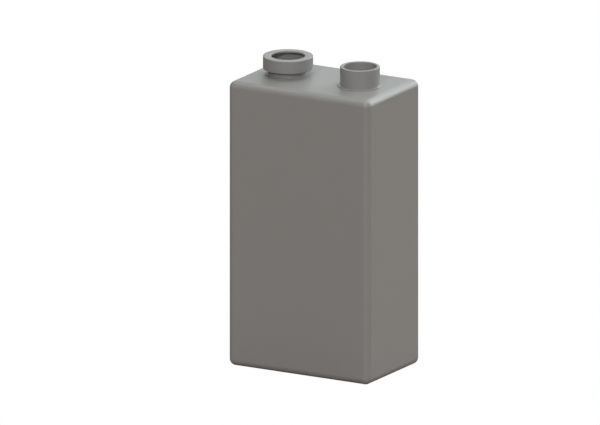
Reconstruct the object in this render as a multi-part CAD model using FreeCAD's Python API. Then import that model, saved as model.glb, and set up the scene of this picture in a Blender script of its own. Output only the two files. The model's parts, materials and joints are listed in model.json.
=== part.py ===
"""Block battery with two snap terminals: a moulded case around a stack of six flat cells.

Everything is in millimetres. The origin is at the middle of the underside, +Z points up
through the terminals, and the broad faces look along -Y and +Y. The snap stud is on the
+X side and the snap socket on the -X side.
"""

import FreeCAD
import Part

import os

# Case
CASE_WIDTH = 24.9
CASE_DEPTH = 16.05
CASE_HEIGHT = 45.0
EDGE_RADIUS = 1.05
WALL = 0.5
ROOF = 1.0
CAVITY_RADIUS = 0.5
RIB_WIDTH = 1.2
RIB_GAP = 0.1
RIB_BOTTOM = 3.0
RIB_TOP = 41.5
BROAD_RIB_X = 7.0
NARROW_RIB_Y = 4.5

# Base cover: a tray whose rim plugs into the open foot of the case
FLOOR = 0.8
RIM_TOP = 2.2
RIM_WALL = 0.35
RIM_GAP = 0.05
RIM_NOTCH = 5.0
NOTCH_Z = 1.3

# Terminals
TERMINAL_SPACING = 12.7
TERMINAL_HEIGHT = 3.03
FLANGE_RADIUS = 3.45
FLANGE_RAISE = 0.1
SEAT_DEPTH = 0.2
SEAT_GAP = 0.03
FOOT_FILLET = 0.05
STUD_RADIUS = 3.05
STUD_BORE = 2.555
STUD_RIM_RADIUS = 0.1
SOCKET_RADIUS = 3.84
SOCKET_NECK_RADIUS = 3.03
SOCKET_NECK_HEIGHT = 1.09
SOCKET_LIP_BORE = 2.6
SOCKET_LIP = 0.25
SOCKET_SHEET = 0.38
SOCKET_EDGE_RADIUS = 0.06

# Rivets
RIVET_RADIUS = 1.05
RIVET_HOLE = 1.15
RIVET_HEAD_RADIUS = 1.9
RIVET_HEAD = 0.45
RIVET_TAIL_RADIUS = 1.7
RIVET_TAIL = 0.4
RIVET_EDGE = 0.15
TAIL_BORE_RADIUS = 0.6
TAIL_BORE_DEPTH = 0.9
WASHER_RADIUS = 2.3
WASHER = 0.3

# Terminal board
BOARD = 1.0
BOARD_GAP = 0.5
BOARD_RADIUS = 1.0
POST = 2.0
POST_INSET = 0.5

# Cell stack, counted upwards
CELL_COUNT = 6
CELL_WIDTH = 22.4
CELL_DEPTH = 13.4
CELL_RADIUS = 2.2
FILM = 0.1
OPENING_INSET = 1.4
PLATE_INSET = 0.2
CAKE_INSET = 0.4
ZINC = 0.5
PAPER = 0.25
CAKE = 5.3
SLEEVE = 0.15
SLEEVE_LIP = 1.5
PAD = 1.0
STRIP = 0.15
STRIP_WIDTH = 4.0
STRIP_BEND = 0.4
STRIP_GAP = 0.25
STRIP_FOOT = 6.5
CONTACT_PLATE = 0.2
CONTACT_INSET = 1.0
CARD = 0.4
CARD_INSET = 0.2

# Levels worked out from the sizes above
CELL_PITCH = FILM + ZINC + PAPER + CAKE + FILM
BOTTOM_STRIP_Z = FLOOR + PAD
BOTTOM_PLATE_Z = BOTTOM_STRIP_Z + STRIP
STACK_Z = BOTTOM_PLATE_Z + CONTACT_PLATE
TOP_PLATE_Z = STACK_Z + CELL_COUNT * CELL_PITCH
TOP_STRIP_Z = TOP_PLATE_Z + CONTACT_PLATE
CARD_Z = TOP_STRIP_Z + STRIP
BOARD_Z = CASE_HEIGHT - ROOF - BOARD
STRIP_X = CELL_WIDTH / 2 + SLEEVE + STRIP_GAP + STRIP

CAVITY_WIDTH = CASE_WIDTH - 2 * WALL
CAVITY_DEPTH = CASE_DEPTH - 2 * WALL

STUD_X = TERMINAL_SPACING / 2
SOCKET_X = -TERMINAL_SPACING / 2

ACROSS = FreeCAD.Vector(0, 1, 0)
UP = FreeCAD.Vector(0, 0, 1)

# How far a cutting shape runs past the face that it opens
PAST = 1.0
# Cosine above which an edge counts as running along a direction
ALIGNED = 0.99


def block(width, depth, bottom, top, x=0.0, y=0.0):
    """A square-cornered block centred on x, y, between two levels."""
    corner = FreeCAD.Vector(x - width / 2, y - depth / 2, bottom)
    return Part.makeBox(width, depth, top - bottom, corner)


def edges_along(shape, direction):
    def slant(edge):
        return abs(edge.tangentAt(edge.FirstParameter).dot(direction))

    return [edge for edge in shape.Edges if slant(edge) > ALIGNED]


def slab(width, depth, bottom, top, radius):
    """A block with its four upright edges rounded."""
    body = block(width, depth, bottom, top)
    return body.makeFillet(radius, edges_along(body, UP))


def disc(radius, bottom, top, x):
    return Part.makeCylinder(radius, top - bottom, FreeCAD.Vector(x, 0, bottom), UP)


def case_outside():
    """The whole outside of the case: a block with every edge rounded."""
    body = block(CASE_WIDTH, CASE_DEPTH, 0, CASE_HEIGHT)
    return body.makeFillet(EDGE_RADIUS, body.Edges)


def turned(outline, x):
    """Turns a closed outline about the upright axis at x.

    A step of the outline is a point, (radius, height above the roof), or what corner() gives:
    an arc from the point before, ("arc", middle, end).
    """
    edges = []
    start = outline[0]
    for step in outline[1:] + [outline[0]]:
        if len(step) == 3:
            middle, end = step[1], step[2]
            edges.append(Part.Arc(spot(start), spot(middle), spot(end)).toShape())
        else:
            end = step
            edges.append(Part.LineSegment(spot(start), spot(end)).toShape())
        start = end
    face = Part.Face(Part.Wire(edges))
    solid = face.revolve(FreeCAD.Vector(0, 0, 0), UP, 360)
    solid.translate(FreeCAD.Vector(x, 0, CASE_HEIGHT))
    return solid


def spot(point):
    return FreeCAD.Vector(point[0], 0, point[1])


def corner(centre_radius, centre_height, radius, from_side, to_side):
    """A quarter round about a centre, between two of the sides "in", "out", "up", "down"."""
    sides = {"in": (-1, 0), "out": (1, 0), "up": (0, 1), "down": (0, -1)}
    first = sides[from_side]
    last = sides[to_side]
    half = radius * 0.5 ** 0.5
    middle_radius = centre_radius + half * (first[0] + last[0])
    middle_height = centre_height + half * (first[1] + last[1])
    end = (centre_radius + radius * last[0], centre_height + radius * last[1])
    return ("arc", (middle_radius, middle_height), end)


def rib(x, y, width, depth):
    return block(width, depth, RIB_BOTTOM, RIB_TOP, x, y)


def case_ribs():
    """Ribs inside the four walls that keep the stack centred, rooted halfway into the wall."""
    root = WALL / 2
    broad_reach = (CAVITY_DEPTH - CELL_DEPTH) / 2 - SLEEVE - RIB_GAP
    narrow_reach = (CAVITY_WIDTH - CELL_WIDTH) / 2 - SLEEVE - RIB_GAP
    ribs = []
    for across in (-1, 1):
        for along in (-1, 1):
            broad_y = along * (CAVITY_DEPTH + root - broad_reach) / 2
            ribs.append(rib(across * BROAD_RIB_X, broad_y, RIB_WIDTH, root + broad_reach))
            narrow_x = across * (CAVITY_WIDTH + root - narrow_reach) / 2
            ribs.append(rib(narrow_x, along * NARROW_RIB_Y, root + narrow_reach, RIB_WIDTH))
    return ribs


def foot_zone():
    """Everything below the weld, which runs where the rounding of the foot ends."""
    return block(CASE_WIDTH + 2 * PAST, CASE_DEPTH + 2 * PAST, -PAST, EDGE_RADIUS)


def case_shell():
    """Roof and four walls in one moulding, open at the foot, with a seat under each terminal."""
    cavity = block(CAVITY_WIDTH, CAVITY_DEPTH, -PAST, CASE_HEIGHT - ROOF)
    cavity = cavity.makeFillet(CAVITY_RADIUS, [e for e in cavity.Edges if e.CenterOfMass.z > 0])
    shell = case_outside().cut(cavity).fuse(case_ribs()).cut(foot_zone())
    for x in (STUD_X, SOCKET_X):
        seat = disc(FLANGE_RADIUS + SEAT_GAP, CASE_HEIGHT - SEAT_DEPTH, CASE_HEIGHT + PAST, x)
        shell = shell.cut(seat)
        shell = shell.cut(disc(RIVET_HOLE, BOARD_Z, CASE_HEIGHT + PAST, x))
    return shell.removeSplitter()


def base_cover():
    """The rounded foot of the case with an upstanding rim, notched where the long strip rises."""
    rim_width = CAVITY_WIDTH - 2 * RIM_GAP
    rim_depth = CAVITY_DEPTH - 2 * RIM_GAP
    pocket_width = rim_width - 2 * RIM_WALL
    pocket_depth = rim_depth - 2 * RIM_WALL
    foot = case_outside().common(foot_zone())
    rim = slab(rim_width, rim_depth, FLOOR, RIM_TOP, CAVITY_RADIUS)
    pocket = slab(pocket_width, pocket_depth, FLOOR, RIM_TOP + PAST, CAVITY_RADIUS / 2)
    notch = block(2 * PAST, RIM_NOTCH, NOTCH_Z, RIM_TOP + PAST, -rim_width / 2)
    return foot.fuse(rim).cut(pocket).cut(notch).removeSplitter()


def terminal_foot(neck_radius):
    """The flange that rests in the case's seat and the fillet that runs up into the neck."""
    fillet = corner(neck_radius + FOOT_FILLET, FLANGE_RAISE + FOOT_FILLET, FOOT_FILLET, "down", "in")
    return [
        (RIVET_HOLE, -SEAT_DEPTH),
        (FLANGE_RADIUS, -SEAT_DEPTH),
        (FLANGE_RADIUS, FLANGE_RAISE),
        (neck_radius + FOOT_FILLET, FLANGE_RAISE),
        fillet,
    ]


def terminal_floor(bore):
    """The way back down the inside: a rounded foot of the bore, then the floor to the rivet hole."""
    return [
        (bore, FLANGE_RAISE + FOOT_FILLET),
        corner(bore - FOOT_FILLET, FLANGE_RAISE + FOOT_FILLET, FOOT_FILLET, "out", "down"),
        (RIVET_HOLE, FLANGE_RAISE),
    ]


def positive_stud():
    """The male snap: a drawn cup with a rounded rim."""
    rim = TERMINAL_HEIGHT - STUD_RIM_RADIUS
    outline = terminal_foot(STUD_RADIUS)
    outline += [
        (STUD_RADIUS, rim),
        corner(STUD_RADIUS - STUD_RIM_RADIUS, rim, STUD_RIM_RADIUS, "out", "up"),
        (STUD_BORE + STUD_RIM_RADIUS, TERMINAL_HEIGHT),
        corner(STUD_BORE + STUD_RIM_RADIUS, rim, STUD_RIM_RADIUS, "up", "in"),
    ]
    outline += terminal_floor(STUD_BORE)
    return turned(outline, STUD_X)


def negative_socket():
    """The female snap: a neck, a wider drum, and a thin lip turned in over the drum's hollow."""
    edge = SOCKET_EDGE_RADIUS
    drum_floor = SOCKET_NECK_HEIGHT + SOCKET_SHEET
    lip_floor = TERMINAL_HEIGHT - SOCKET_LIP
    outline = terminal_foot(SOCKET_NECK_RADIUS)
    outline += [
        (SOCKET_NECK_RADIUS, SOCKET_NECK_HEIGHT),
        (SOCKET_RADIUS - edge, SOCKET_NECK_HEIGHT),
        corner(SOCKET_RADIUS - edge, SOCKET_NECK_HEIGHT + edge, edge, "down", "out"),
        (SOCKET_RADIUS, TERMINAL_HEIGHT - edge),
        corner(SOCKET_RADIUS - edge, TERMINAL_HEIGHT - edge, edge, "out", "up"),
        (SOCKET_LIP_BORE + edge, TERMINAL_HEIGHT),
        corner(SOCKET_LIP_BORE + edge, TERMINAL_HEIGHT - edge, edge, "up", "in"),
        (SOCKET_LIP_BORE, lip_floor),
        (SOCKET_RADIUS - SOCKET_SHEET, lip_floor),
        (SOCKET_RADIUS - SOCKET_SHEET, drum_floor),
        (SOCKET_NECK_RADIUS - SOCKET_SHEET, drum_floor),
    ]
    outline += terminal_floor(SOCKET_NECK_RADIUS - SOCKET_SHEET)
    return turned(outline, SOCKET_X)


def rivet(x):
    """A semi-tubular rivet: head on the terminal's floor, tail rolled over under the washer."""
    head_top = FLANGE_RAISE + RIVET_HEAD
    tail_top = -ROOF - BOARD - STRIP - WASHER
    tail_end = tail_top - RIVET_TAIL
    edge = RIVET_EDGE
    outline = [
        (0, head_top),
        (0, tail_end + TAIL_BORE_DEPTH),
        (TAIL_BORE_RADIUS, tail_end + TAIL_BORE_DEPTH),
        (TAIL_BORE_RADIUS, tail_end),
        (RIVET_TAIL_RADIUS - edge, tail_end),
        corner(RIVET_TAIL_RADIUS - edge, tail_end + edge, edge, "down", "out"),
        (RIVET_TAIL_RADIUS, tail_top),
        (RIVET_RADIUS, tail_top),
        (RIVET_RADIUS, FLANGE_RAISE),
        (RIVET_HEAD_RADIUS, FLANGE_RAISE),
        (RIVET_HEAD_RADIUS, head_top - edge),
        corner(RIVET_HEAD_RADIUS - edge, head_top - edge, edge, "out", "up"),
    ]
    return turned(outline, x)


def washer(x):
    top = BOARD_Z - STRIP
    return disc(WASHER_RADIUS, top - WASHER, top, x).cut(disc(RIVET_HOLE, top - WASHER, top, x))


def terminal_board():
    """A fibre board under the roof, on four posts that stand on the stack's card."""
    width = CAVITY_WIDTH - 2 * BOARD_GAP
    depth = CAVITY_DEPTH - 2 * BOARD_GAP
    board = slab(width, depth, BOARD_Z, BOARD_Z + BOARD, BOARD_RADIUS)
    post_x = CELL_WIDTH / 2 - POST_INSET - POST / 2 - CARD_INSET
    post_y = CELL_DEPTH / 2 - POST_INSET - POST / 2 - CARD_INSET
    for across in (-1, 1):
        for along in (-1, 1):
            post = block(POST, POST, CARD_Z + CARD, BOARD_Z, across * post_x, along * post_y)
            board = board.fuse(post)
    for x in (STUD_X, SOCKET_X):
        board = board.cut(disc(RIVET_HOLE, BOARD_Z, BOARD_Z + BOARD, x))
    return board.removeSplitter()


def lead_strip(side, foot_level):
    """A strip bent like a C: foot on the stack, riser beside it, tab under the board."""
    length = STRIP_X - TERMINAL_SPACING / 2 + WASHER_RADIUS
    middle = side * (STRIP_X - length / 2)
    outside = block(length, STRIP_WIDTH, foot_level, BOARD_Z, middle)
    outside = outside.makeFillet(STRIP_BEND, bends(outside, side))
    inner_width = STRIP_WIDTH + 2 * PAST
    inner_middle = middle - side * STRIP
    inside = block(length, inner_width, foot_level + STRIP, BOARD_Z - STRIP, inner_middle)
    inside = inside.makeFillet(STRIP_BEND - STRIP, bends(inside, side))
    spare = length - STRIP_FOOT
    spare_middle = middle - side * STRIP_FOOT / 2
    beyond_foot = block(spare, inner_width, foot_level, foot_level + STRIP, spare_middle)
    strip = outside.cut(inside).cut(beyond_foot)
    return strip.cut(disc(RIVET_HOLE, BOARD_Z - STRIP, BOARD_Z, side * TERMINAL_SPACING / 2))


def bends(body, side):
    """The two edges across a body at the end that lies towards one side."""
    centre = body.CenterOfMass.x
    return [e for e in edges_along(body, ACROSS) if side * (e.CenterOfMass.x - centre) > 0]


def contact_plate(level):
    width = CELL_WIDTH - 2 * CONTACT_INSET
    depth = CELL_DEPTH - 2 * CONTACT_INSET
    return slab(width, depth, level, level + CONTACT_PLATE, CELL_RADIUS - CONTACT_INSET)


def stack_sleeve():
    """The film shrunk round the stack: its ends turn in over the contact plates."""
    bottom = BOTTOM_STRIP_Z
    top = TOP_STRIP_Z + STRIP
    width = CELL_WIDTH + 2 * SLEEVE
    depth = CELL_DEPTH + 2 * SLEEVE
    sleeve = slab(width, depth, bottom, top, CELL_RADIUS + SLEEVE)
    sleeve = sleeve.cut(slab(CELL_WIDTH, CELL_DEPTH, BOTTOM_PLATE_Z, TOP_STRIP_Z, CELL_RADIUS))
    mouth_width = CELL_WIDTH - 2 * SLEEVE_LIP
    mouth_depth = CELL_DEPTH - 2 * SLEEVE_LIP
    mouth_radius = CELL_RADIUS - CONTACT_INSET
    sleeve = sleeve.cut(slab(mouth_width, mouth_depth, bottom - PAST, top + PAST, mouth_radius))
    passage = STRIP_WIDTH + 2 * STRIP_GAP
    sleeve = sleeve.cut(block(CELL_WIDTH / 2, passage, bottom, BOTTOM_PLATE_Z, -CELL_WIDTH / 2))
    return sleeve.cut(block(CELL_WIDTH / 2, passage, TOP_STRIP_Z, top, CELL_WIDTH / 2))


def bottom_pad():
    """A springy pad that takes up the slack under the stack."""
    return slab(CELL_WIDTH, CELL_DEPTH, FLOOR, FLOOR + PAD, CELL_RADIUS)


def top_card():
    """A fibre card that keeps the rivet tails off the stack."""
    width = CELL_WIDTH - 2 * CARD_INSET
    depth = CELL_DEPTH - 2 * CARD_INSET
    return slab(width, depth, CARD_Z, CARD_Z + CARD, CELL_RADIUS - CARD_INSET)


def cell_layer(inset, bottom, top):
    """A layer as large as a cell, less an inset all round."""
    width = CELL_WIDTH - 2 * inset
    depth = CELL_DEPTH - 2 * inset
    return slab(width, depth, bottom, top, CELL_RADIUS - min(inset, OPENING_INSET))


def carbon_film(base):
    """The conducting film on the zinc's underside, showing through the envelope's mouth."""
    return cell_layer(OPENING_INSET, base, base + FILM)


def zinc_plate(base):
    return cell_layer(PLATE_INSET, base + FILM, base + FILM + ZINC)


def separator_paper(base):
    bottom = base + FILM + ZINC
    return cell_layer(PLATE_INSET, bottom, bottom + PAPER)


def mix_cake(base):
    """The black pressed cake, with a low boss that stands in the envelope's upper mouth."""
    bottom = base + FILM + ZINC + PAPER
    cake = cell_layer(CAKE_INSET, bottom, bottom + CAKE)
    boss = cell_layer(OPENING_INSET, bottom + CAKE, base + CELL_PITCH)
    return cake.fuse(boss).removeSplitter()


def cell_envelope(base):
    """The plastic film round one cell, turned in at both ends to leave a mouth."""
    envelope = cell_layer(0, base, base + CELL_PITCH)
    envelope = envelope.cut(cell_layer(FILM, base + FILM, base + CELL_PITCH - FILM))
    return envelope.cut(cell_layer(OPENING_INSET, base - PAST, base + CELL_PITCH + PAST))


def write(name, shape):
    solid = shape.Solids[0]
    if len(shape.Solids) != 1 or not solid.isValid():
        raise ValueError(name + " is not one sound solid")
    solid.exportStep("parts/" + name + ".step")


def main():
    os.makedirs("parts", exist_ok=True)
    write("case_shell", case_shell())
    write("base_cover", base_cover())
    write("positive_stud", positive_stud())
    write("negative_socket", negative_socket())
    for name, x in (("stud", STUD_X), ("socket", SOCKET_X)):
        write(name + "_rivet", rivet(x))
        write(name + "_washer", washer(x))
    write("terminal_board", terminal_board())
    write("positive_strip", lead_strip(1, TOP_STRIP_Z))
    write("negative_strip", lead_strip(-1, BOTTOM_STRIP_Z))
    write("positive_plate", contact_plate(TOP_PLATE_Z))
    write("negative_plate", contact_plate(BOTTOM_PLATE_Z))
    write("stack_sleeve", stack_sleeve())
    write("bottom_pad", bottom_pad())
    write("top_card", top_card())
    layers = {
        "carbon_film": carbon_film,
        "zinc_plate": zinc_plate,
        "separator_paper": separator_paper,
        "mix_cake": mix_cake,
        "cell_envelope": cell_envelope,
    }
    for cell in range(CELL_COUNT):
        base = STACK_Z + cell * CELL_PITCH
        for layer, make in layers.items():
            write("cell_%d_%s" % (cell + 1, layer), make(base))


main()
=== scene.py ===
"""Looks for a block battery with two snap terminals, built round its packed frame."""

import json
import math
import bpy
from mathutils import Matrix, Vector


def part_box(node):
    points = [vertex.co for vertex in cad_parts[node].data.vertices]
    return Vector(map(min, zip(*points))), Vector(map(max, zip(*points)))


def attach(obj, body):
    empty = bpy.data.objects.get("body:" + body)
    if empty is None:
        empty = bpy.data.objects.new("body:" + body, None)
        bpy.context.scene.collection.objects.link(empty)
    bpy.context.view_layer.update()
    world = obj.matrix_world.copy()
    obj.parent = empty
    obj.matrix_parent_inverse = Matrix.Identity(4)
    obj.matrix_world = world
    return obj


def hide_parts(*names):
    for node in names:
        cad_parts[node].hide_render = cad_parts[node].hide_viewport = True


bl_info = {
    "name": "Snap Terminal Block Battery",
    "version": (1, 0, 0),
    "blender": (4, 5, 0),
    "location": "3D Viewport > Sidebar > Battery",
    "description": "Builds the case, terminals and finishes of a block battery",
    "category": "Add Mesh",
}

import bmesh
import bpy
from bpy.props import FloatProperty, FloatVectorProperty, IntProperty, PointerProperty
from bpy.types import Operator, Panel, PropertyGroup
from mathutils import Matrix, Vector

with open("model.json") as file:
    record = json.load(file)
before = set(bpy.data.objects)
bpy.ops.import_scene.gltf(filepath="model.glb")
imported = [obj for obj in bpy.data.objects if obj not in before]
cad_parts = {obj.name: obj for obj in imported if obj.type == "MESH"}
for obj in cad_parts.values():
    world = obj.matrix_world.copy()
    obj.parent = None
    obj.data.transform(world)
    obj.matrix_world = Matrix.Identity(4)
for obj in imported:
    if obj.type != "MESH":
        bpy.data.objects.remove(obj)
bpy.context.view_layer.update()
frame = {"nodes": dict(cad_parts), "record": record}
MM = 0.001
# Points closer than this are one point.
MERGE = 1e-7
# How far a cutting tool runs past the face that it opens.
PAST = 1 * MM
# An edge is upright when at least this share of its length is.
UPRIGHT = 0.9
# Faces that meet at more than this angle keep a sharp edge.
SHARP = math.radians(35)
WHITE = (1, 1, 1, 1)


def corners(node):
    """The lowest and the highest corner of a node's box."""
    low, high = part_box(node)
    return Vector(low), Vector(high)


CASE_LOW, CASE_HIGH = corners("case_shell")
COVER_LOW, COVER_HIGH = corners("base_cover")
MIDDLE_HEIGHT = (CASE_HIGH.z + COVER_LOW.z) / 2
BOARD_TOP = corners("terminal_board")[1].z
STACK_HIGH = corners("stack_sleeve")[1]
# The stud's flange is its widest part, and the socket's flange is the same.
FLANGE_RADIUS = corners("positive_stud")[1].y


def length(name, description, default_mm):
    """A length property whose default is given in millimetres."""
    return FloatProperty(
        name=name, description=description, default=default_mm * MM, min=0, precision=5,
        subtype="DISTANCE", unit="LENGTH",
    )


def angle(name, description, degrees):
    """An angle property whose default is given in degrees."""
    return FloatProperty(
        name=name, description=description, default=math.radians(degrees), subtype="ANGLE",
        unit="ROTATION",
    )


def strength(name, description, default):
    """A plain number from 0 up."""
    return FloatProperty(name=name, description=description, default=default, min=0, unit="NONE")


def count(name, description, default):
    """A count of faces."""
    return IntProperty(name=name, description=description, default=default, min=1)


def colour(name, description, default):
    """A colour in linear red, green and blue."""
    return FloatVectorProperty(
        name=name, description=description, default=default, size=3, min=0, max=1, subtype="COLOR"
    )


class CaseSizes(PropertyGroup):
    """Sizes of the moulded case and of the cover welded into its foot."""

    edge_radius: length("Edge radius", "Rounding of every outside edge", 1.05)
    edge_steps: count("Edge steps", "Faces across a rounded edge", 12)
    wall: length("Wall", "Thickness of the four walls", 0.5)
    cavity_radius: length("Cavity radius", "Rounding inside the case", 0.5)
    cavity_steps: count("Cavity steps", "Faces across an inside edge", 5)
    rib_width: length("Rib width", "Width of a locating rib", 1.2)
    rib_clearance: length("Rib clearance", "From a rib to the film on the stack", 0.1)
    rib_start: length("Rib start", "Height where the ribs begin", 3.0)
    rib_end: length("Rib end", "Height where the ribs end", 41.5)
    broad_rib_offset: length("Broad rib offset", "From the middle to a rib on a broad wall", 7.0)
    narrow_rib_offset: length("Narrow rib offset", "From the middle to a rib on a narrow wall", 4.5)
    seat_clearance: length("Seat clearance", "Round each terminal's flange", 0.03)
    cover_floor: length("Cover floor", "Thickness of the base cover's floor", 0.8)
    rim_clearance: length("Rim clearance", "Between the cover's rim and the case", 0.05)
    rim_wall: length("Rim wall", "Thickness of the cover's rim", 0.35)
    notch_width: length("Notch width", "Gap in the rim for the long strip", 5.0)
    notch_floor: length("Notch floor", "Height where the notch begins", 1.3)


class TerminalSizes(PropertyGroup):
    """Sizes of the two snaps and the rivets that hold them."""

    turns: count("Turns", "Faces round a turned piece", 144)
    round_steps: count("Round steps", "Faces across a rounded corner", 6)
    flange_raise: length("Flange raise", "Flange above the roof", 0.1)
    flange_edge: length("Flange edge", "Rounding of the flange's edge", 0.04)
    foot_fillet: length("Foot fillet", "Rounding between flange and neck", 0.05)
    stud_radius: length("Stud radius", "Outside of the male snap", 3.05)
    stud_bore: length("Stud bore", "Inside radius of the male snap", 2.555)
    stud_rim: length("Stud rim", "Rounding of the male snap's rim", 0.1)
    socket_radius: length("Socket radius", "Outside of the female snap's drum", 3.84)
    neck_radius: length("Neck radius", "Outside of the female snap's neck", 3.03)
    neck_height: length("Neck height", "From the roof to the underside of the drum", 1.09)
    lip_bore: length("Lip bore", "Radius of the female snap's mouth", 2.6)
    lip: length("Lip", "Thickness of the lip", 0.25)
    sheet: length("Sheet", "Thickness of the drawn sheet", 0.38)
    drum_edge: length("Drum edge", "Rounding of the drum's edges", 0.06)
    rivet_hole: length("Rivet hole", "Radius of the holes for a rivet", 1.15)
    rivet_radius: length("Rivet radius", "Radius of a rivet's shank", 1.05)
    head_radius: length("Head radius", "Radius of a rivet's head", 1.9)
    head_edge: length("Head edge", "Rounding of a rivet's head and tail", 0.15)
    tail_radius: length("Tail radius", "Radius of a rivet's rolled tail", 1.7)
    tail: length("Tail", "Thickness of a rivet's rolled tail", 0.4)
    tail_bore_radius: length("Tail bore radius", "Radius of the hollow in a rivet's tail", 0.6)
    tail_bore: length("Tail bore", "Depth of the hollow in a rivet's tail", 0.9)


class FinishGrain(PropertyGroup):
    """Sizes of what can be seen in the surfaces, and how deep it is."""

    cloud: length("Cloud", "Soft clouding of the moulding", 9)
    grain: length("Grain", "Eroded grain of the moulding", 0.16)
    grain_depth: length("Grain depth", "Depth of the eroded grain", 0.0012)
    rub_start: length("Rub start", "From an outside face to where handling begins to show", 1.6)
    rub_full: length("Rub full", "From an outside face to where it shows in full", 0.2)
    rub_patch: length("Rub patch", "Size of a rubbed patch", 1.4)
    ring: length("Ring", "Width of a ring left by the drawing tool", 0.09)
    ring_depth: length("Ring depth", "Depth of those rings", 0.0006)
    dull_patch: length("Dull patch", "Size of a duller patch in the plating", 1.1)
    streak: length("Streak", "Width of a rolling streak", 0.25)
    streak_depth: length("Streak depth", "Depth of the rolling streaks", 0.001)
    spot: length("Spot", "Size of a darker spot on sheet metal", 1.8)
    board_fibre: length("Board fibre", "Length of a fibre in the terminal board and the card", 0.9)
    board_depth: length("Board depth", "Relief of the terminal board and the card", 0.01)
    pad_fibre: length("Pad fibre", "Length of a fibre in the pad", 1.4)
    pad_depth: length("Pad depth", "Relief of the pad", 0.03)
    paper_fibre: length("Paper fibre", "Length of a fibre in the separator paper", 0.6)
    paper_depth: length("Paper depth", "Relief of the separator paper", 0.006)
    ripple: length("Ripple", "Width of a shrink ripple in film", 1.5)
    ripple_depth: length("Ripple depth", "Depth of the shrink ripples", 0.01)
    haze: length("Haze", "Size of a hazy patch in film", 4)
    carbon_grain: length("Carbon grain", "Grain of the carbon film", 0.06)
    cake_grain: length("Cake grain", "Grain of the pressed mix", 0.2)


class FinishColours(PropertyGroup):
    """Colours of the surfaces."""

    case: colour("Case", "Satin grey moulding", (0.25, 0.25, 0.25))
    terminal: colour("Terminal", "Satin plated sheet", (0.243, 0.243, 0.243))
    rivet: colour("Rivet", "Satin plated rivet", (0.36, 0.36, 0.35))
    strip: colour("Strip", "Tinned strip", (0.55, 0.54, 0.51))
    fibre: colour("Fibre", "Pressed brown fibre", (0.16, 0.085, 0.045))
    pad: colour("Pad", "Soft grey-brown board", (0.27, 0.20, 0.13))
    stack_film: colour("Stack film", "Film round the stack", (0.50, 0.53, 0.50))
    cell_film: colour("Cell film", "Film round a cell", (0.36, 0.42, 0.45))
    carbon: colour("Carbon", "Conducting carbon film", (0.012, 0.012, 0.013))
    zinc: colour("Zinc", "Rolled zinc sheet", (0.40, 0.43, 0.46))
    paper: colour("Paper", "Pasted separator paper", (0.66, 0.60, 0.47))
    cake: colour("Cake", "Pressed black mix", (0.014, 0.013, 0.012))


class StageSettings(PropertyGroup):
    """Camera, floor and the light that comes from all round."""

    azimuth: angle("Azimuth", "Turn of the camera from the front", 30)
    elevation: angle("Elevation", "Height of the camera", 15)
    frame_width: length("Frame width", "Width of what the camera sees", 91.743)
    offset_right: length("Offset right", "The object stands this far right of the middle", 3.668)
    offset_down: length("Offset down", "The object stands this far below the middle", 1.473)
    distance: length("Distance", "From the camera to the object", 400)
    floor_size: length("Floor size", "Side of the floor", 4000)
    floor_colour: colour("Floor colour", "What the floor throws back onto the object", (0.30, 0.235, 0.20))
    room_light: strength("Room light", "Even light from all round", 0.03)


def lamp_settings(name, purpose, azimuth, elevation, spread, power, tint):
    """Makes the group of settings of one lamp."""
    settings = {
        "azimuth": angle("Azimuth", "Turn of the lamp from the right", azimuth),
        "elevation": angle("Elevation", "Height of the lamp", elevation),
        "spread": angle("Spread", "How wide the lamp looks from the object", spread),
        "power": strength("Power", "Strength of the lamp", power),
        "tint": colour("Tint", "Colour of the lamp", tint),
    }
    return type(name, (PropertyGroup,), {"__doc__": purpose, "__annotations__": settings})


KeyLamp = lamp_settings(
    "KeyLamp", "Broad soft lamp a little right of the camera.",
    azimuth=-45, elevation=30, spread=70, power=0.96, tint=(1.0, 0.97, 0.95),
)
TopLamp = lamp_settings(
    "TopLamp", "Soft lamp straight above.",
    azimuth=0, elevation=90, spread=60, power=1.88, tint=(1.0, 1.0, 0.93),
)
BackLamp = lamp_settings(
    "BackLamp", "Soft lamp behind the object.",
    azimuth=88, elevation=30, spread=56, power=1.1, tint=(0.88, 0.98, 1.0),
)
LowBackLamp = lamp_settings(
    "LowBackLamp", "Weak lamp low behind the object, whose reflection lies in the roof.",
    azimuth=118, elevation=12, spread=50, power=0.34, tint=(0.95, 1.0, 0.98),
)
EdgeLamp = lamp_settings(
    "EdgeLamp", "Soft lamp low behind the object on the right, which lights its edges.",
    azimuth=64, elevation=15, spread=46, power=1.74, tint=(0.93, 1.0, 0.99),
)
CrispLamp = lamp_settings(
    "CrispLamp", "Small lamp left of the camera, which draws the terminals' shadows.",
    azimuth=-78.5, elevation=30, spread=3, power=1.0, tint=(1.0, 1.0, 1.0),
)


# ---------------------------------------------------------------- shader maths


class Wire:
    """One output of a node; Python's operators on it add Math nodes."""

    def __init__(self, finish, socket):
        self.finish = finish
        self.socket = socket

    def math(self, operation, first, second=0.0):
        return self.finish.node("ShaderNodeMath", {"operation": operation}, {0: first, 1: second})

    def __add__(self, other):
        return self.math("ADD", self, other)

    def __radd__(self, other):
        return self.math("ADD", other, self)

    def __sub__(self, other):
        return self.math("SUBTRACT", self, other)

    def __rsub__(self, other):
        return self.math("SUBTRACT", other, self)

    def __mul__(self, other):
        return self.math("MULTIPLY", self, other)

    def __rmul__(self, other):
        return self.math("MULTIPLY", other, self)

    def __pow__(self, other):
        return self.math("POWER", self, other)

    def __rpow__(self, other):
        return self.math("POWER", other, self)

    def __abs__(self):
        return self.math("ABSOLUTE", self)

    def most(self, other):
        """The larger of the two."""
        return self.math("MAXIMUM", self, other)


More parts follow.
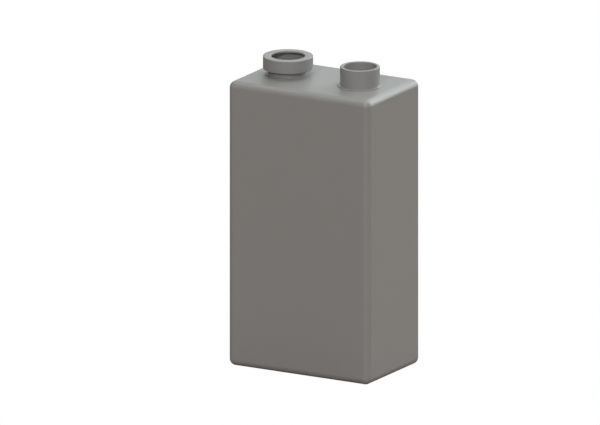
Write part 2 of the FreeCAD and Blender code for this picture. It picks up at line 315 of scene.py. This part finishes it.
class Finish:
    """A node material, or the world, built from expressions."""

    def __init__(self, owner):
        owner.use_nodes = True
        self.owner = owner
        self.tree = owner.node_tree
        self.tree.nodes.clear()

    def node(self, kind, settings=None, inputs=None, output=0):
        """Adds a node: its settings first, then its sockets' values or links."""
        made = self.tree.nodes.new(kind)
        for key, value in (settings or {}).items():
            setattr(made, key, value)
        for key, value in (inputs or {}).items():
            if isinstance(value, Wire):
                self.tree.links.new(value.socket, made.inputs[key])
            else:
                made.inputs[key].default_value = value
        return Wire(self, made.outputs[output]) if made.outputs else made

    def place(self):
        """Where on the object a point lies, in metres."""
        return self.node("ShaderNodeTexCoord", output="Object")

    def axes(self, vector):
        """The three parts of a vector."""
        return [self.node("ShaderNodeSeparateXYZ", None, {0: vector}, output=axis) for axis in range(3)]

    def stretched(self, vector, scale):
        """A vector scaled by its own factor along each axis."""
        return self.node("ShaderNodeVectorMath", {"operation": "MULTIPLY"}, {0: vector, 1: scale})

    def noise(self, vector, size, detail=2.0, roughness=0.5):
        """Soft noise from 0 to 1 whose blobs are about size across, in metres."""
        inputs = {"Vector": vector, "Scale": 1 / size, "Detail": detail, "Roughness": roughness}
        return self.node("ShaderNodeTexNoise", None, inputs)

    def step(self, value, low, high):
        """A smooth step from 0 at low to 1 at high."""
        settings = {"interpolation_type": "SMOOTHSTEP"}
        return self.node("ShaderNodeMapRange", settings, {0: value, 1: low, 2: high, 3: 0.0, 4: 1.0})

    def blend(self, factor, first, second):
        """Mixes two colours."""
        inputs = {0: factor, 6: opaque(first), 7: opaque(second)}
        return self.node("ShaderNodeMix", {"data_type": "RGBA"}, inputs, output=2)

    def bump(self, height, depth):
        """A surface whose relief runs over depth, in metres, as height runs from 0 to 1."""
        return self.node("ShaderNodeBump", None, {"Strength": 1.0, "Distance": depth, "Height": height})

    def surface(self, base, roughness, normal, **plain):
        """Ends a material; plain holds the other sockets' values, such as metallic."""
        inputs = {"Base Color": base, "Roughness": roughness, "Normal": normal}
        for key, value in plain.items():
            inputs[key.replace("_", " ").title()] = value
        shader = self.node("ShaderNodeBsdfPrincipled", None, inputs)
        self.node("ShaderNodeOutputMaterial", None, {"Surface": shader})
        return self.owner


def opaque(tone):
    """A colour as a colour socket takes it; a wire is left as it is."""
    return tone if isinstance(tone, Wire) else (*tone, 1)


def shade(tone, factor):
    """A colour made lighter or darker by a plain factor."""
    return tuple(min(1.0, channel * factor) for channel in tone)


def new_finish(name):
    """An empty material, ready for its nodes."""
    return Finish(bpy.data.materials.new(name))


def grain_sizes():
    """The settings of the surfaces' grain."""
    return bpy.context.scene.battery_grain


def satin_moulding(name, tone):
    """Satin grey moulding: soft clouding, fine eroded grain, edges handled a little smoother."""
    finish = new_finish(name)
    size = grain_sizes()
    place = finish.place()
    x, y, z = finish.axes(place)
    clouds = finish.noise(place, size.cloud, 3)
    grain = finish.noise(place, size.grain, 3, 0.6)
    reaches = [(x, CASE_HIGH.x), (y, CASE_HIGH.y), (z - MIDDLE_HEIGHT, CASE_HIGH.z - MIDDLE_HEIGHT)]
    near_x, near_y, near_z = [
        finish.step(abs(value), reach - size.rub_start, reach - size.rub_full) for value, reach in reaches
    ]
    edges = (near_x * near_y).most(near_x * near_z).most(near_y * near_z)
    rubbed = edges * finish.step(finish.noise(place, size.rub_patch, 4), 0.45, 0.75)
    base = finish.blend(clouds, shade(tone, 0.985), shade(tone, 1.015))
    base = finish.blend(finish.step(grain, 0.35, 0.65) * 0.35, base, shade(tone, 0.97))
    base = finish.blend(rubbed * 0.25, base, shade(tone, 1.10))
    roughness = 0.39 + 0.03 * clouds - 0.04 * rubbed
    return finish.surface(base, roughness, finish.bump(grain, size.grain_depth))


def turned_plating(name, tone, centre):
    """Satin plating with the faint rings of the drawing tool, about an upright axis."""
    finish = new_finish(name)
    size = grain_sizes()
    place = finish.place()
    shift = {"vector_type": "POINT"}
    local = finish.node("ShaderNodeMapping", shift, {0: place, 1: (-centre, 0, 0)})
    x, y, z = finish.axes(local)
    radius = (x * x + y * y) ** 0.5
    rings = finish.node("ShaderNodeCombineXYZ", None, {0: radius, 1: 0.0, 2: z})
    drawn = finish.noise(rings, size.ring, 2)
    dull = finish.noise(place, size.dull_patch, 3)
    base = finish.blend(drawn, shade(tone, 0.98), shade(tone, 1.02))
    base = finish.blend(finish.step(dull, 0.5, 0.8) * 0.3, base, shade(tone, 0.95))
    roughness = 0.37 + 0.05 * dull
    return finish.surface(base, roughness, finish.bump(drawn, size.ring_depth))


def rolled_metal(name, tone, stretch):
    """Sheet metal with streaks along its rolling direction."""
    finish = new_finish(name)
    size = grain_sizes()
    place = finish.place()
    streaks = finish.noise(finish.stretched(place, stretch), size.streak, 4, 0.6)
    spots = finish.noise(place, size.spot, 4)
    base = finish.blend(streaks, shade(tone, 0.9), shade(tone, 1.08))
    base = finish.blend(finish.step(spots, 0.55, 0.8) * 0.4, base, shade(tone, 0.8))
    roughness = 0.26 + 0.2 * streaks
    return finish.surface(base, roughness, finish.bump(streaks, size.streak_depth), metallic=1.0)


def pressed_fibre(name, tone, grain_size, depth):
    """Board or paper: short fibres lying every way in the sheet, and darker flecks."""
    finish = new_finish(name)
    place = finish.place()
    one_way = finish.noise(finish.stretched(place, (1, 6, 6)), grain_size, 3)
    other_way = finish.noise(finish.stretched(place, (6, 1, 6)), grain_size, 3)
    fibres = one_way.most(other_way)
    flecks = finish.step(finish.noise(place, grain_size / 2, 2), 0.66, 0.72)
    base = finish.blend(finish.step(fibres, 0.4, 0.75), shade(tone, 0.82), shade(tone, 1.15))
    base = finish.blend(flecks * 0.5, base, shade(tone, 0.55))
    return finish.surface(base, 0.82 + 0.1 * fibres, finish.bump(fibres, depth))


def shrunk_film(name, tone):
    """Film drawn tight, a little hazy, with long shallow shrink ripples."""
    finish = new_finish(name)
    size = grain_sizes()
    place = finish.place()
    ripples = finish.noise(finish.stretched(place, (1, 1, 0.25)), size.ripple, 2)
    haze = finish.noise(place, size.haze, 3)
    base = finish.blend(haze, shade(tone, 0.94), shade(tone, 1.05))
    roughness = 0.22 + 0.12 * haze
    return finish.surface(base, roughness, finish.bump(ripples, size.ripple_depth), coat_weight=0.3)


def black_mix(name, tone, grain_size, roughness):
    """Carbon black: fine pressed grains with a few bright specks of graphite."""
    finish = new_finish(name)
    place = finish.place()
    grains = finish.node("ShaderNodeTexVoronoi", None, {"Vector": place, "Scale": 1 / grain_size})
    specks = finish.step(finish.noise(place, grain_size, 1), 0.70, 0.74)
    base = finish.blend(grains, shade(tone, 0.7), shade(tone, 1.6))
    base = finish.blend(specks * 0.5, base, shade(tone, 6))
    return finish.surface(base, roughness - 0.2 * specks, finish.bump(grains, grain_size / 8))


# ---------------------------------------------------------------- mesh tools


def block(mesh, low, high):
    """Adds a block between two corners and returns its eight points."""
    made = bmesh.ops.create_cube(mesh, size=1)["verts"]
    bmesh.ops.scale(mesh, verts=made, vec=high - low)
    bmesh.ops.translate(mesh, verts=made, vec=(high + low) / 2)
    return made


def edges_of(verts):
    """Every edge that meets one of the points."""
    return list({edge for vert in verts for edge in vert.link_edges})


def is_upright(edge):
    along = edge.verts[0].co - edge.verts[1].co
    return abs(along.z) > UPRIGHT * along.length


def round_edges(mesh, edges, radius, steps):
    """Rounds edges."""
    bmesh.ops.bevel(
        mesh, geom=edges, offset=radius, offset_type="OFFSET", affect="EDGES", segments=steps,
        profile=0.5, material=-1, clamp_overlap=True,
    )


def cut_level(mesh, geometry, height, kept_side):
    """Cuts geometry at a level and keeps the side that kept_side points to."""
    bmesh.ops.bisect_plane(
        mesh, geom=geometry, dist=MERGE, plane_co=Vector((0, 0, height)), plane_no=kept_side,
        clear_inner=True, clear_outer=False,
    )


def keep_above(mesh, geometry, height):
    cut_level(mesh, geometry, height, Vector((0, 0, 1)))


def keep_below(mesh, geometry, height):
    cut_level(mesh, geometry, height, Vector((0, 0, -1)))


def all_geometry(mesh):
    return mesh.verts[:] + mesh.edges[:] + mesh.faces[:]


def ranks(items, key):
    """The place of each item when they are sorted by a key."""
    return {item: place for place, item in enumerate(sorted(items, key=key))}


def settle_order(mesh):
    """Sorts points, edges and faces, because some operators leave them in a new order each run."""
    mesh.verts.sort(key=ranks(mesh.verts, lambda vert: vert.co[:]).get)
    mesh.verts.index_update()
    for items in (mesh.edges, mesh.faces):
        items.sort(key=ranks(items, lambda item: sorted(vert.index for vert in item.verts)).get)


def as_object(mesh, name):
    """Turns a bmesh into an object of the scene and frees it."""
    bmesh.ops.remove_doubles(mesh, verts=mesh.verts, dist=MERGE)
    settle_order(mesh)
    data = bpy.data.meshes.new(name)
    mesh.to_mesh(data)
    mesh.free()
    made = bpy.data.objects.new(name, data)
    bpy.context.scene.collection.objects.link(made)
    return made


def lathe(name, outline, centre, level, turns, round_steps):
    """Turns an outline of (radius, height, rounding) corners about an upright axis."""
    mesh = bmesh.new()
    verts = [mesh.verts.new((radius, 0, height)) for radius, height, _ in outline]
    for here, there in zip(verts, verts[1:] + verts[:1]):
        if here.co.x > MERGE or there.co.x > MERGE:
            mesh.edges.new((here, there))
    roundings = sorted({corner[2] for corner in outline} - {0})
    groups = [[v for v, corner in zip(verts, outline) if corner[2] == size] for size in roundings]
    for size, group in zip(roundings, groups):
        bmesh.ops.bevel(
            mesh, geom=group, offset=size, offset_type="OFFSET", affect="VERTICES",
            segments=round_steps, profile=0.5, material=-1, clamp_overlap=False,
        )
    bmesh.ops.spin(
        mesh, geom=mesh.verts[:] + mesh.edges[:], cent=(0, 0, 0), axis=(0, 0, 1), dvec=(0, 0, 0),
        angle=2 * math.pi, steps=turns, use_merge=True, use_duplicate=False,
    )
    bmesh.ops.remove_doubles(mesh, verts=mesh.verts, dist=MERGE)
    bmesh.ops.recalc_face_normals(mesh, faces=mesh.faces)
    bmesh.ops.translate(mesh, verts=mesh.verts, vec=(centre, 0, level))
    return as_object(mesh, name)


def cylinder(name, radius, low, high, centre, turns):
    """An upright cylinder between two heights, as an object."""
    mesh = bmesh.new()
    bmesh.ops.create_cone(
        mesh, cap_ends=True, segments=turns, radius1=radius, radius2=radius, depth=high - low
    )
    bmesh.ops.translate(mesh, verts=mesh.verts, vec=(centre, 0, (low + high) / 2))
    return as_object(mesh, name)


def slab(name, low, high, radius, steps):
    """A block with rounded upright edges, as an object."""
    mesh = bmesh.new()
    block(mesh, low, high)
    round_edges(mesh, [e for e in mesh.edges if is_upright(e)], radius, steps)
    return as_object(mesh, name)


def carve(piece, tools):
    """Joins or cuts with each (tool, operation) and drops the tools."""
    for tool, operation in tools:
        modifier = piece.modifiers.new("carve", "BOOLEAN")
        modifier.object = tool
        modifier.operation = operation
        modifier.solver = "EXACT"
        bpy.context.view_layer.update()
        shaped = bpy.data.meshes.new_from_object(
            piece.evaluated_get(bpy.context.evaluated_depsgraph_get())
        )
        piece.modifiers.clear()
        piece.data = shaped
        bpy.data.objects.remove(tool)
    piece.data.name = piece.name
    return piece


def finish_piece(piece, node, material):
    """Smooth shading, material, and the piece's place in the frame."""
    piece.data.materials.clear()
    piece.data.materials.append(material)
    piece.data.shade_smooth()
    piece.data.set_sharp_from_angle(angle=SHARP)
    weighted = piece.modifiers.new("even_shading", "WEIGHTED_NORMAL")
    weighted.keep_sharp = True
    weighted.weight = 100
    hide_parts(node)
    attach(piece, "root")


def sizes():
    """The case's and the terminals' settings."""
    return bpy.context.scene.battery_case, bpy.context.scene.battery_terminals


def axis_of(node):
    """Where a turned piece's upright axis stands along x."""
    low, high = corners(node)
    return (low.x + high.x) / 2


# ---------------------------------------------------------------- the case


def inset_box(low, high, inset):
    """A box's two corners, moved in from its four upright sides."""
    return low + Vector((inset, inset, 0)), high - Vector((inset, inset, 0))


def rib_tools(case):
    """The eight locating ribs, buried a little in the walls so that they join them."""
    cavity_high = inset_box(CASE_LOW, CASE_HIGH, case.wall)[1]
    bury = case.wall / 2
    half = case.rib_width / 2
    ribs = []
    for across in (-1, 1):
        for along in (-1, 1):
            near, far = STACK_HIGH.y + case.rib_clearance, cavity_high.y + bury
            mid = across * case.broad_rib_offset
            ribs.append(((mid - half, mid + half), sorted((along * near, along * far))))
            near, far = STACK_HIGH.x + case.rib_clearance, cavity_high.x + bury
            mid = along * case.narrow_rib_offset
            ribs.append((sorted((across * near, across * far)), (mid - half, mid + half)))
    tools = []
    for (x_low, x_high), (y_low, y_high) in ribs:
        mesh = bmesh.new()
        block(mesh, Vector((x_low, y_low, case.rib_start)), Vector((x_high, y_high, case.rib_end)))
        tools.append((as_object(mesh, "rib"), "UNION"))
    return tools


def opening_tools(case, terminals):
    """The seats for the terminals' flanges and the rivet holes through the roof."""
    seat = FLANGE_RADIUS + case.seat_clearance
    hole = terminals.rivet_hole
    top = CASE_HIGH.z + PAST
    tools = []
    for node in ("positive_stud", "negative_socket"):
        floor = corners(node)[0].z
        centre = axis_of(node)
        tools.append((cylinder("seat", seat, floor, top, centre, terminals.turns), "DIFFERENCE"))
        tools.append((cylinder("hole", hole, BOARD_TOP - PAST, top, centre, terminals.turns), "DIFFERENCE"))
    return tools


def case_shell(case, terminals):
    """Roof and four walls, open at the foot."""
    mesh = bmesh.new()
    block(mesh, Vector((CASE_LOW.x, CASE_LOW.y, COVER_LOW.z)), CASE_HIGH)
    round_edges(mesh, mesh.edges[:], case.edge_radius, case.edge_steps)
    keep_above(mesh, all_geometry(mesh), CASE_LOW.z)
    outside = set(mesh.faces)
    low, high = inset_box(CASE_LOW, CASE_HIGH, case.wall)
    low.z, high.z = COVER_LOW.z, BOARD_TOP
    cavity = block(mesh, low, high)
    inner_edges = [e for e in edges_of(cavity) if is_upright(e) or e.verts[0].co.z > CASE_LOW.z]
    round_edges(mesh, inner_edges, case.cavity_radius, case.cavity_steps)
    inside = [face for face in mesh.faces if face not in outside]
    parts = inside + list({e for f in inside for e in f.edges}) + list({v for f in inside for v in f.verts})
    keep_above(mesh, parts, CASE_LOW.z)
    inside = [face for face in mesh.faces if face not in outside]
    bmesh.ops.reverse_faces(mesh, faces=inside)
    bmesh.ops.bridge_loops(mesh, edges=[e for e in mesh.edges if e.is_boundary])
    bmesh.ops.recalc_face_normals(mesh, faces=mesh.faces)
    shell = as_object(mesh, "case")
    return carve(shell, rib_tools(case) + opening_tools(case, terminals))


def base_cover(case):
    """The rounded foot of the case, with the rim that plugs into it."""
    seam = CASE_LOW.z
    mesh = bmesh.new()
    block(mesh, COVER_LOW, Vector((COVER_HIGH.x, COVER_HIGH.y, CASE_HIGH.z)))
    round_edges(mesh, mesh.edges[:], case.edge_radius, case.edge_steps)
    keep_below(mesh, all_geometry(mesh), seam)
    bmesh.ops.holes_fill(mesh, edges=[e for e in mesh.edges if e.is_boundary], sides=0)
    bmesh.ops.recalc_face_normals(mesh, faces=mesh.faces)
    cover = as_object(mesh, "base_cover_moulding")
    low, high = inset_box(COVER_LOW, COVER_HIGH, case.wall + case.rim_clearance)
    low.z = case.cover_floor / 2
    rim = slab("rim", low, high, case.cavity_radius, case.cavity_steps)
    low, high = inset_box(low, high, case.rim_wall)
    low.z, high.z = case.cover_floor, COVER_HIGH.z + PAST
    pocket = slab("pocket", low, high, case.cavity_radius / 2, case.cavity_steps)
    half = case.notch_width / 2
    mesh = bmesh.new()
    left = COVER_LOW.x + case.wall
    block(mesh, Vector((left, -half, case.notch_floor)), Vector((left + 2 * case.wall, half, high.z)))
    notch = as_object(mesh, "notch")
    return carve(cover, [(rim, "UNION"), (pocket, "DIFFERENCE"), (notch, "DIFFERENCE")])


# ---------------------------------------------------------------- the terminals


def terminal_foot(t, neck, sunk):
    """Corners from the rivet hole, round the flange, to the foot of the neck."""
    return [
        (t.rivet_hole, -sunk, 0),
        (FLANGE_RADIUS, -sunk, 0),
        (FLANGE_RADIUS, t.flange_raise, t.flange_edge),
        (neck, t.flange_raise, t.foot_fillet),
    ]


def terminal_floor(t, bore):
    """Corners from the foot of the bore in to the rivet hole."""
    return [(bore, t.flange_raise, t.foot_fillet), (t.rivet_hole, t.flange_raise, 0)]


def stud(t):
    """The male snap: a plain cup on its flange."""
    low, high = corners("positive_stud")
    height = high.z - CASE_HIGH.z
    outline = terminal_foot(t, t.stud_radius, CASE_HIGH.z - low.z)
    outline += [(t.stud_radius, height, t.stud_rim), (t.stud_bore, height, t.stud_rim)]
    outline += terminal_floor(t, t.stud_bore)
    return lathe("stud", outline, axis_of("positive_stud"), CASE_HIGH.z, t.turns, t.round_steps)


def socket(t):
    """The female snap: a neck on its flange, and a hollow drum with a thin lip."""
    low, high = corners("negative_socket")
    height = high.z - CASE_HIGH.z
    hollow = t.socket_radius - t.sheet
    outline = terminal_foot(t, t.neck_radius, CASE_HIGH.z - low.z)
    outline += [
        (t.neck_radius, t.neck_height, 0),
        (t.socket_radius, t.neck_height, t.drum_edge),
        (t.socket_radius, height, t.drum_edge),
        (t.lip_bore, height, t.drum_edge),
        (t.lip_bore, height - t.lip, 0),
        (hollow, height - t.lip, 0),
        (hollow, t.neck_height + t.sheet, 0),
        (t.neck_radius - t.sheet, t.neck_height + t.sheet, 0),
    ]
    outline += terminal_floor(t, t.neck_radius - t.sheet)
    return lathe("socket", outline, axis_of("negative_socket"), CASE_HIGH.z, t.turns, t.round_steps)


def rivet(t, node):
    """A semi-tubular rivet: flat head, shank and rolled tail with a hollow in it."""
    low, high = corners(node)
    head, tail_end = high.z - CASE_HIGH.z, low.z - CASE_HIGH.z
    outline = [
        (0, head, 0),
        (0, tail_end + t.tail_bore, 0),
        (t.tail_bore_radius, tail_end + t.tail_bore, 0),
        (t.tail_bore_radius, tail_end, 0),
        (t.tail_radius, tail_end, t.head_edge),
        (t.tail_radius, tail_end + t.tail, 0),
        (t.rivet_radius, tail_end + t.tail, 0),
        (t.rivet_radius, t.flange_raise, 0),
        (t.head_radius, t.flange_raise, 0),
        (t.head_radius, head, t.head_edge),
    ]
    return lathe(node + "_turned", outline, axis_of(node), CASE_HIGH.z, t.turns, t.round_steps)


# ---------------------------------------------------------------- operators


class BATTERY_OT_case(Operator):
    """Build the moulded case and the base cover"""

    bl_idname = "battery.case"
    bl_label = "Case and Base Cover"

    def execute(self, context):
        case, terminals = sizes()
        material = satin_moulding("satin_grey_moulding", context.scene.battery_colours.case)
        finish_piece(case_shell(case, terminals), "case_shell", material)
        finish_piece(base_cover(case), "base_cover", material)
        return {"FINISHED"}


class BATTERY_OT_terminals(Operator):
    """Turn the snap stud and the snap socket"""

    bl_idname = "battery.terminals"
    bl_label = "Snap Terminals"

    def execute(self, context):
        tone = context.scene.battery_colours.terminal
        terminals = sizes()[1]
        for node, make in (("positive_stud", stud), ("negative_socket", socket)):
            material = turned_plating(node + "_plating", tone, axis_of(node))
            finish_piece(make(terminals), node, material)
        return {"FINISHED"}


class BATTERY_OT_rivets(Operator):
    """Turn the two rivets"""

    bl_idname = "battery.rivets"
    bl_label = "Rivets"

    def execute(self, context):
        tone = context.scene.battery_colours.rivet
        for node in ("stud_rivet", "socket_rivet"):
            material = turned_plating(node + "_plating", tone, axis_of(node))
            finish_piece(rivet(sizes()[1], node), node, material)
        return {"FINISHED"}


class BATTERY_OT_inner_parts(Operator):
    """Give every sealed inner part its finish"""

    bl_idname = "battery.inner_parts"
    bl_label = "Inner Parts"

    def execute(self, context):
        tones = context.scene.battery_colours
        size = grain_sizes()
        finishes = {
            "strip_metal": rolled_metal("tinned_strip", tones.strip, (1, 8, 1)),
            "fibre_board": pressed_fibre("pressed_fibre", tones.fibre, size.board_fibre, size.board_depth),
            "pad_card": pressed_fibre("soft_board", tones.pad, size.pad_fibre, size.pad_depth),
            "stack_film": shrunk_film("stack_film", tones.stack_film),
            "cell_film": shrunk_film("cell_film", tones.cell_film),
            "carbon_film": black_mix("carbon_film", tones.carbon, size.carbon_grain, 0.6),
            "zinc": rolled_metal("rolled_zinc", tones.zinc, (1, 10, 10)),
            "separator_paper": pressed_fibre(
                "pasted_paper", tones.paper, size.paper_fibre, size.paper_depth
            ),
            "mix_cake": black_mix("pressed_mix", tones.cake, size.cake_grain, 0.85),
        }
        for entry in frame["record"]["subparts"]:
            material = finishes.get(entry["material_slot"])
            if material is None:
                continue
            node = frame["nodes"][entry["node"]]
            if not node.material_slots:
                raise RuntimeError(entry["node"] + " has no material slot")
            for slot in node.material_slots:
                slot.material = material
        return {"FINISHED"}


class BATTERY_OT_stage(Operator):
    """Set the floor, the lights and the camera"""

    bl_idname = "battery.stage"
    bl_label = "Stage"

    def execute(self, context):
        settings = context.scene.battery_stage
        pale_floor(settings)
        room_light(settings)
        for name in LAMPS:
            soft_lamp(name, getattr(context.scene, name))
        camera(context.scene, settings)
        context.scene.view_settings.view_transform = "Standard"
        return {"FINISHED"}


def view_axes(settings):
    """The camera's right, up and backward directions."""
    swing, rise = settings.azimuth, settings.elevation
    right = Vector((math.cos(swing), math.sin(swing), 0))
    back = Vector((math.sin(swing) * math.cos(rise), -math.cos(swing) * math.cos(rise), math.sin(rise)))
    return right, back.cross(right), back


def camera(scene, settings):
    """A camera without perspective, aimed so that the object stands a little right of the middle."""
    right, up, back = view_axes(settings)
    middle = Vector((0, 0, MIDDLE_HEIGHT))
    target = middle - settings.offset_right * right + settings.offset_down * up
    lens = bpy.data.cameras.new("camera")
    lens.type = "ORTHO"
    lens.ortho_scale = settings.frame_width
    lens.clip_end = 2 * settings.floor_size
    made = bpy.data.objects.new("camera", lens)
    turned = Matrix((right, up, back)).transposed().to_4x4()
    made.matrix_world = Matrix.Translation(target + settings.distance * back) @ turned
    scene.collection.objects.link(made)
    scene.camera = made


def pale_floor(settings):
    """A floor that looks white and throws back a dimmer, warmer light."""
    mesh = bmesh.new()
    bmesh.ops.create_grid(mesh, x_segments=1, y_segments=1, size=settings.floor_size / 2)
    floor = as_object(mesh, "floor")
    finish = new_finish("pale_floor")
    seen = finish.node("ShaderNodeLightPath", output="Is Camera Ray")
    pale = finish.node("ShaderNodeEmission", None, {"Color": WHITE, "Strength": 1.0})
    matt = finish.node("ShaderNodeBsdfDiffuse", None, {"Color": opaque(settings.floor_colour)})
    both = finish.node("ShaderNodeMixShader", None, {0: seen, 1: matt, 2: pale})
    finish.node("ShaderNodeOutputMaterial", None, {"Surface": both})
    floor.data.materials.append(finish.owner)


def room_light(settings):
    """Even light all round; the camera sees white beyond the floor."""
    world = bpy.data.worlds.new("room")
    bpy.context.scene.world = world
    finish = Finish(world)
    seen = finish.node("ShaderNodeLightPath", output="Is Camera Ray")
    dim = finish.node("ShaderNodeBackground", None, {"Strength": settings.room_light})
    white = finish.node("ShaderNodeBackground", None, {"Color": WHITE, "Strength": 1.0})
    both = finish.node("ShaderNodeMixShader", None, {0: seen, 1: dim, 2: white})
    finish.node("ShaderNodeOutputWorld", None, {"Surface": both})


def soft_lamp(name, lamp):
    """A far lamp, as wide as its spread."""
    light = bpy.data.lights.new(name, "SUN")
    light.energy = lamp.power
    light.angle = lamp.spread
    light.color = lamp.tint
    level = math.cos(lamp.elevation)
    towards = Vector(
        (level * math.cos(lamp.azimuth), level * math.sin(lamp.azimuth), math.sin(lamp.elevation))
    )
    made = bpy.data.objects.new(name, light)
    made.rotation_euler = towards.to_track_quat("Z", "Y").to_euler()
    bpy.context.scene.collection.objects.link(made)


class BATTERY_PT_panel(Panel):
    """Buttons and sizes for the battery"""

    bl_idname = "BATTERY_PT_panel"
    bl_label = "Block Battery"
    bl_space_type = "VIEW_3D"
    bl_region_type = "UI"
    bl_category = "Battery"

    def draw(self, context):
        layout = self.layout
        for operator in OPERATORS:
            layout.operator(operator.bl_idname)
        for group in GROUPS:
            settings = getattr(context.scene, group)
            for name in settings.bl_rna.properties.keys():
                if name not in ("rna_type", "name"):
                    layout.prop(settings, name)


OPERATORS = (
    BATTERY_OT_case,
    BATTERY_OT_terminals,
    BATTERY_OT_rivets,
    BATTERY_OT_inner_parts,
    BATTERY_OT_stage,
)
SETTINGS = {
    "battery_case": CaseSizes,
    "battery_terminals": TerminalSizes,
    "battery_grain": FinishGrain,
    "battery_colours": FinishColours,
    "battery_stage": StageSettings,
}
LAMPS = {
    "battery_key_lamp": KeyLamp,
    "battery_top_lamp": TopLamp,
    "battery_back_lamp": BackLamp,
    "battery_low_back_lamp": LowBackLamp,
    "battery_edge_lamp": EdgeLamp,
    "battery_crisp_lamp": CrispLamp,
}
GROUPS = SETTINGS | LAMPS
CLASSES = (*GROUPS.values(), *OPERATORS, BATTERY_PT_panel)


def register():
    for item in CLASSES:
        bpy.utils.register_class(item)
    for name, group in GROUPS.items():
        setattr(bpy.types.Scene, name, PointerProperty(type=group))


def unregister():
    for name in GROUPS:
        delattr(bpy.types.Scene, name)
    for item in reversed(CLASSES):
        bpy.utils.unregister_class(item)


def plain(box):
    """A box as plain lists."""
    return [list(corner) for corner in box]


def main():
    register()
    bpy.ops.battery.case()
    bpy.ops.battery.terminals()
    bpy.ops.battery.rivets()
    bpy.ops.battery.inner_parts()
    bpy.ops.battery.stage()


if __name__ == "__main__":
    main()
